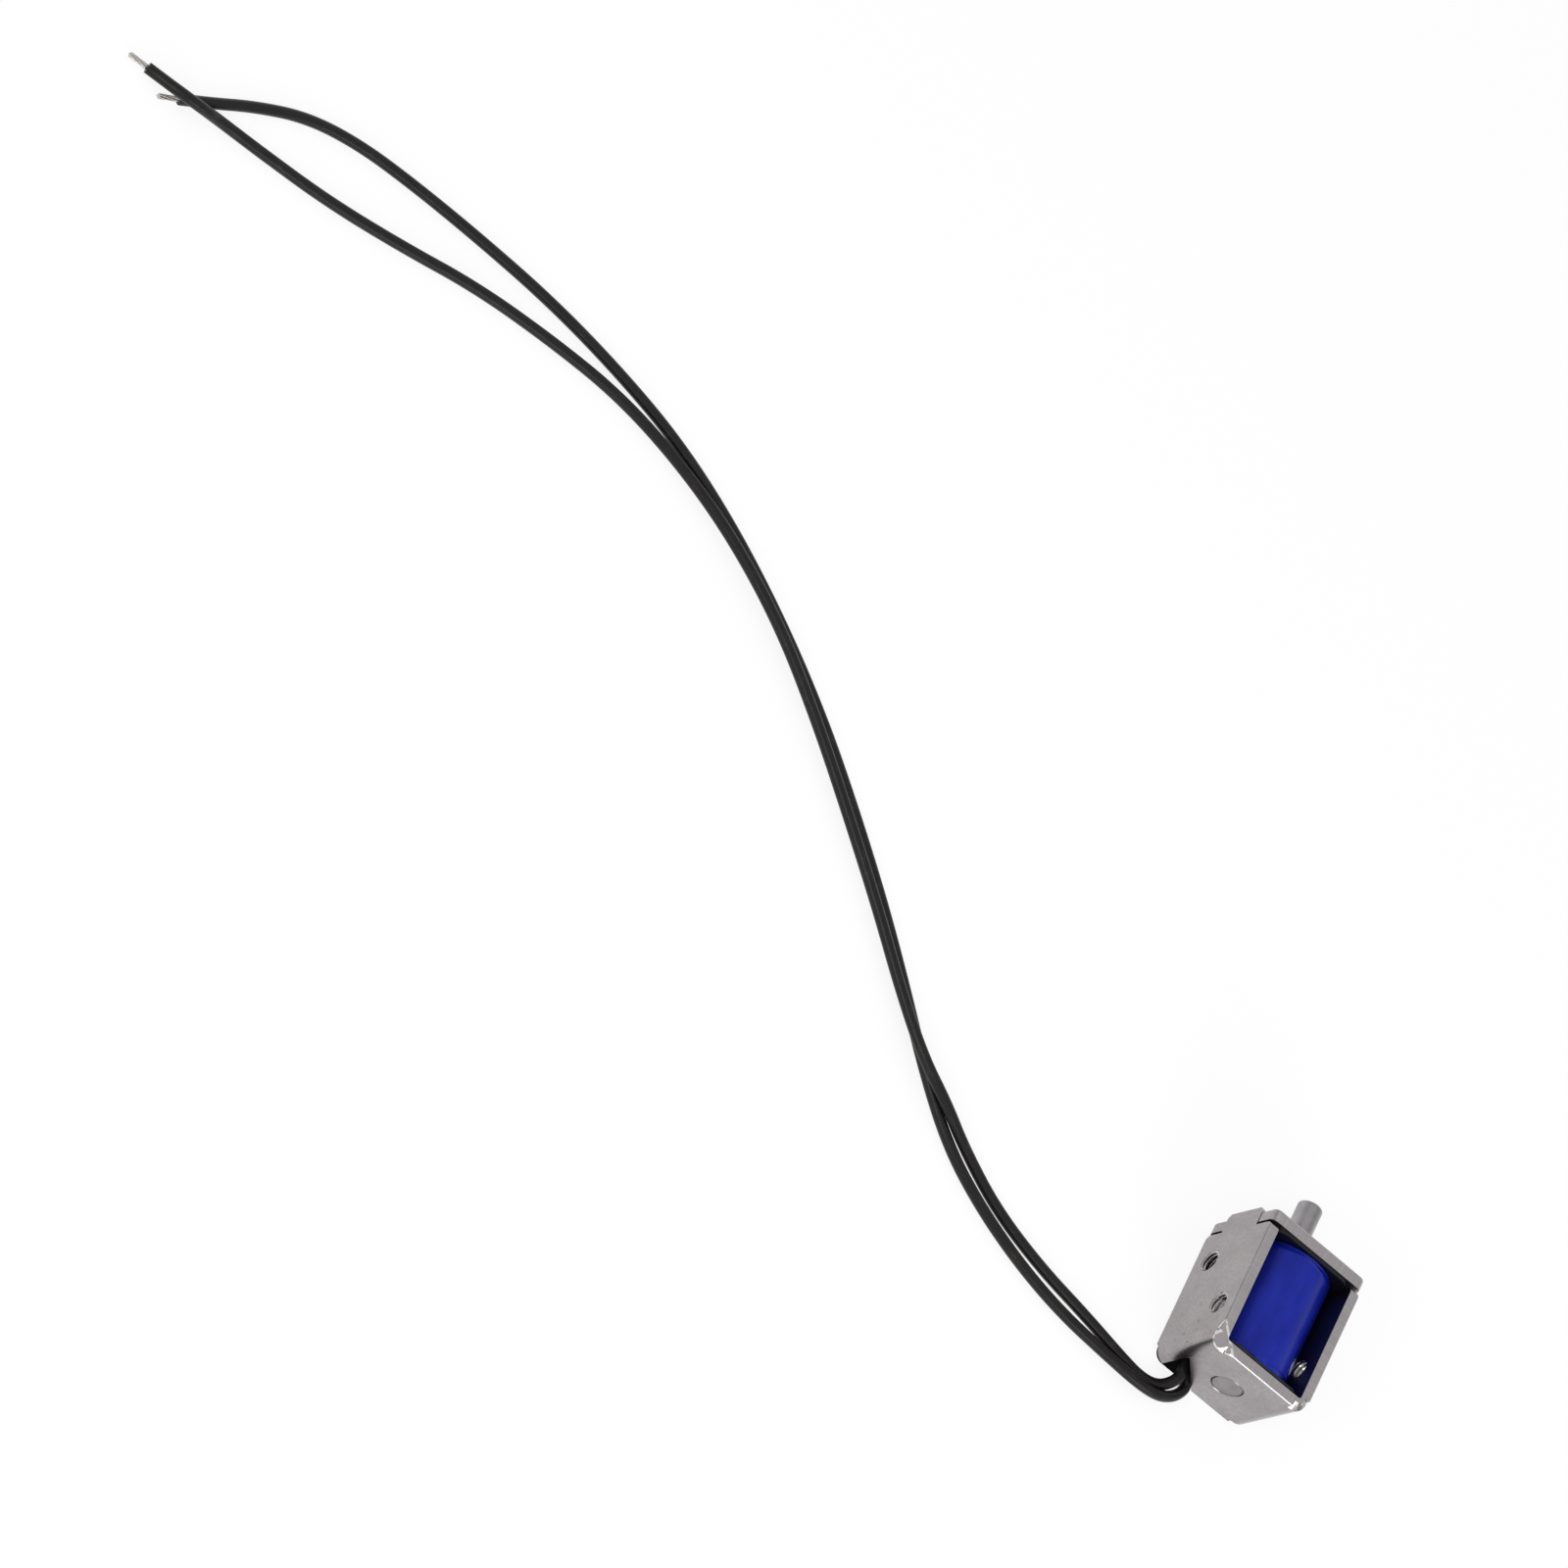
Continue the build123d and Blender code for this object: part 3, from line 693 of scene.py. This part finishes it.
# %% Tinned copper
tinned = Finish("tinned_copper")
dull = tinned.noise(tinned.stretched((260, 2600, 2600)), 1, 3)
tinned_copper = tinned.done(
    Base_Color=tinned.colour_mix(dull, rgb(168, 164, 159), rgb(222, 218, 213)),
    Metallic=1.0, Roughness=0.2 + dull * 0.2,
    Normal=tinned.bump(dull, 0.006 * mm, 0.4))

# %% Twisted strands
random.seed(7)
strand_radius = 0.08 * mm
lay_length = 7.0 * mm
strand_steps = 26
inside_jacket = 0.2 * mm
shortest_share = 0.94


def bare_strands(name, end, tip):
    """Seven strands from just inside the insulation's end to the tip."""
    along = (Vector(tip) - Vector(end)).normalized()
    start = Vector(end) - along * inside_jacket
    length = (Vector(tip) - start).length
    upright = along.to_track_quat("Z", "Y").to_matrix().to_4x4()
    shape = bmesh.new()
    for number in range(7):
        ring = 0 if number == 0 else 2 * strand_radius
        place = Matrix.Rotation(number * math.tau / 6, 4, "Z") @ Matrix.Translation((ring, 0, 0))
        disc = bmesh.ops.create_circle(
            shape, cap_ends=True, segments=10, radius=strand_radius, matrix=place)
        reach = length * random.uniform(shortest_share, 1.0)
        faces = list({face for vert in disc["verts"] for face in vert.link_faces})
        edges = list({one for vert in disc["verts"] for one in vert.link_edges})
        bmesh.ops.spin(
            shape, geom=disc["verts"] + edges + faces, cent=(0, 0, 0), axis=(0, 0, 1),
            dvec=(0, 0, reach / strand_steps), angle=math.tau * reach / lay_length,
            steps=strand_steps, use_merge=False, use_duplicate=False)
    bmesh.ops.recalc_face_normals(shape, faces=shape.faces)
    bmesh.ops.transform(shape, matrix=Matrix.Translation(start) @ upright, verts=shape.verts)
    for face in shape.faces:
        face.smooth = len(face.verts) == 4
    piece = to_object(shape, name)
    piece.data.materials.append(tinned_copper)
    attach(piece, "frame")
    print(name, "faces", len(piece.data.polygons))
    return piece


strands_a = bare_strands("strands_a", lead_a_route[-1], (-0.1412, 0.02345, 0.0005))
strands_b = bare_strands("strands_b", lead_b_route[-1], (-0.1373, 0.0221, 0.0005))
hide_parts("strand_end_a")
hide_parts("strand_end_b")

# %% [markdown]
# ## The return spring
#
# The spring is steel wire wound on a mandrel. It pushes the bolt out, and it gets shorter when the
# coil pulls the bolt in, which a solid part can't do. So a mesh of the same size stands for it: a
# small disc spun round the bolt's axis while it moves along it.

# %% Coil of spring wire round the bolt's axis
spring_from = -5.375 * mm
spring_to = 1.025 * mm
spring_wire_radius = 0.11 * mm
spring_radius = 1.15 * mm
spring_turns = 6
spring_steps = 24 * spring_turns
spring_rise = spring_to - spring_from - 2 * spring_wire_radius

shape = bmesh.new()
first_place = Matrix.Translation((spring_radius, spring_from + spring_wire_radius, axis_height))
bmesh.ops.create_circle(
    shape, cap_ends=True, segments=10, radius=spring_wire_radius, matrix=first_place)
bmesh.ops.spin(
    shape, geom=shape.verts[:] + shape.edges[:] + shape.faces[:], cent=(0, 0, axis_height),
    axis=(0, 1, 0), dvec=(0, spring_rise / spring_steps, 0), angle=math.tau * spring_turns,
    steps=spring_steps, use_merge=False, use_duplicate=False)
bmesh.ops.recalc_face_normals(shape, faces=shape.faces)
for face in shape.faces:
    face.smooth = len(face.verts) == 4
spring_coil = to_object(shape, "spring_coil")
spring_coil.data.materials.append(spring_wire)
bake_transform(spring_coil)
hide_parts("return_spring")
print("spring coil, faces", len(spring_coil.data.polygons))

# %% [markdown]
# ## Screw threads
#
# Four tapped holes in the side walls take small screws. The solid part has plain holes
# at the thread's full width, because a thread is too fine for it. The ridge is a small
# wedge spun round the hole while it moves along it by one pitch a turn. The two ends that stick
# out of the wall are cut off flat at its faces.

# %% Steel of a cut thread
cut_metal = Finish("cut_thread")
torn = cut_metal.noise(cut_metal.place, 3600, 2)
cut_thread = cut_metal.done(
    Base_Color=cut_metal.colour_mix(torn, rgb(140, 136, 135), rgb(214, 211, 210)),
    Metallic=1.0, Roughness=0.14 + torn * 0.16,
    Normal=cut_metal.bump(torn, 0.006 * mm, 0.3))

# %% Measures of the four threads
thread_pitch = 0.4 * mm
thread_root = 1.01 * mm
thread_crest = 0.81 * mm
ridge_half_foot = 0.19 * mm
ridge_half_top = 0.05 * mm
wall_inner = 4.3 * mm
wall_outer = 5.3 * mm
hole_rim = 0.1 * mm
steps_a_turn = 28
front_hole = (-4.675 * mm, 6.47 * mm)
rear_hole = (0.325 * mm, 2.23 * mm)
thread_turns = (wall_outer - wall_inner) / thread_pitch + 2
print("thread turns", round(thread_turns, 2))

# %% Thread ridges in the side walls


def thread_ridge(name, side, hole):
    """The ridge of one tapped hole, in the left wall if side is -1 and in the right one if 1."""
    shape = bmesh.new()
    start = wall_inner - thread_pitch
    wedge = [
        shape.verts.new((start + place, 0, radius)) for place, radius in (
            (-ridge_half_foot, thread_root), (ridge_half_foot, thread_root),
            (ridge_half_top, thread_crest), (-ridge_half_top, thread_crest))]
    shape.faces.new(wedge)
    steps = round(thread_turns * steps_a_turn)
    bmesh.ops.spin(
        shape, geom=shape.verts[:] + shape.edges[:] + shape.faces[:], cent=(0, 0, 0),
        axis=(1, 0, 0), dvec=(thread_pitch / steps_a_turn, 0, 0),
        angle=math.tau * steps / steps_a_turn, steps=steps, use_merge=False, use_duplicate=False)
    for cut, outward in ((wall_inner, -1), (wall_outer - hole_rim, 1)):
        bmesh.ops.bisect_plane(
            shape, geom=shape.verts[:] + shape.edges[:] + shape.faces[:],
            plane_co=(cut, 0, 0), plane_no=(outward, 0, 0), clear_outer=True)
        bmesh.ops.holes_fill(shape, edges=[one for one in shape.edges if one.is_boundary], sides=0)
    if side < 0:
        bmesh.ops.rotate(shape, cent=(0, 0, 0), matrix=Matrix.Rotation(math.pi, 3, "Z"),
                         verts=shape.verts)
    bmesh.ops.translate(shape, vec=(0, *hole), verts=shape.verts)
    bmesh.ops.recalc_face_normals(shape, faces=shape.faces)
    piece = to_object(shape, name)
    piece.data.materials.append(cut_thread)
    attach(piece, "frame")
    print(name, "faces", len(piece.data.polygons))


for side, wall_name in ((-1, "left"), (1, "right")):
    thread_ridge(wall_name + "_front_thread", side, front_hole)
    thread_ridge(wall_name + "_rear_thread", side, rear_hole)

# %% [markdown]
# ## The loose end of the tape
#
# The last turn of tape isn't laid quite straight: its lower edge runs off at a slight angle and
# its cut end has lifted, so that it catches the light as a thin pale line. It is a strip spun
# round the coil, trimmed along a slanting plane and given the thickness of one tape. Only the
# last stretch of it is lifted, where the frame leaves room.

# %% Last turn of tape
coil_radius = 4.25 * mm
tape_thickness = 0.03 * mm
tape_from = math.radians(-88)
tape_to = math.radians(41)
lift_from = math.radians(30)
lift_height = 0.16 * mm
lift_width = 3.2 * mm
lower = -7.72 * mm
upper = 2.72 * mm
air_under = 0.004 * mm
cuts_along = 24
steps_round = 60
trim_place = (-1.2 * mm, -7.66 * mm, 0)
trim_facing = (0.16, -1, 0)

shape = bmesh.new()
edge_start = Matrix.Rotation(tape_from, 3, "Y") @ Vector((0, 0, coil_radius + air_under))
ends = [shape.verts.new((edge_start.x, place, edge_start.z)) for place in (lower, upper)]
shape.edges.new(ends)
bmesh.ops.subdivide_edges(shape, edges=shape.edges[:], cuts=cuts_along)
bmesh.ops.spin(
    shape, geom=shape.verts[:] + shape.edges[:], cent=(0, 0, 0), axis=(0, 1, 0),
    angle=tape_to - tape_from, steps=steps_round, use_merge=False, use_duplicate=False)
bmesh.ops.bisect_plane(
    shape, geom=shape.verts[:] + shape.edges[:] + shape.faces[:],
    plane_co=trim_place, plane_no=trim_facing, clear_outer=True)
for vert in shape.verts:
    angle = math.atan2(vert.co.x, vert.co.z)
    share = max(0, (angle - lift_from) / (tape_to - lift_from))
    near_edge = max(0, 1 - (vert.co.y - lower) / lift_width)
    outward = Vector((vert.co.x, 0, vert.co.z)).normalized()
    vert.co += outward * lift_height * share ** 2 * near_edge
bmesh.ops.translate(shape, vec=(0, 0, axis_height), verts=shape.verts)
bmesh.ops.recalc_face_normals(shape, faces=shape.faces)
for face in shape.faces:
    face.smooth = True
last_turn = to_object(shape, "tape_last_turn")
last_turn.data.materials.append(polyester_tape)
thick = last_turn.modifiers.new("one tape thick", "SOLIDIFY")
thick.thickness = tape_thickness
thick.offset = 1
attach(last_turn, "frame")
print("last turn of tape, faces", len(last_turn.data.polygons))
